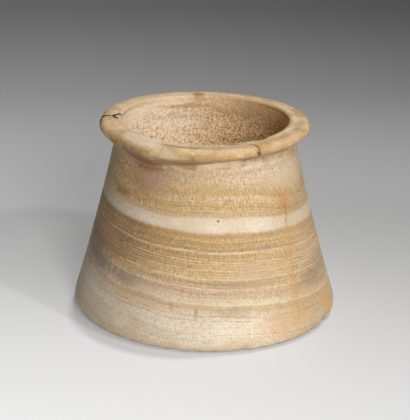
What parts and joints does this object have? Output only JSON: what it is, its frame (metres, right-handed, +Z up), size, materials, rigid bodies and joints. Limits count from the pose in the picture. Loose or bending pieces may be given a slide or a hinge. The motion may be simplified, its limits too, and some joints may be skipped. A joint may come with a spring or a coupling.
{
  "type": "calcite vase",
  "caption": "Squat ancient vase carved from banded calcite: a truncated cone with a broad everted lip, hollow and open at the top.",
  "frame": {"origin": "centre of the flat underside, at ground level, on the vase's axis", "axes": "+Z up along the vase's axis, out of its mouth; -Y towards the front, the side the picture shows; +X to the right of it"},
  "size_m": [0.1462, 0.1457, 0.1065],
  "materials": {
    "calcite": "smooth worn banded stone, waxy, slightly translucent at thin edges"
  },
  "bodies": {
    "root": {"vase": "calcite"}
  },
  "joints": []
}
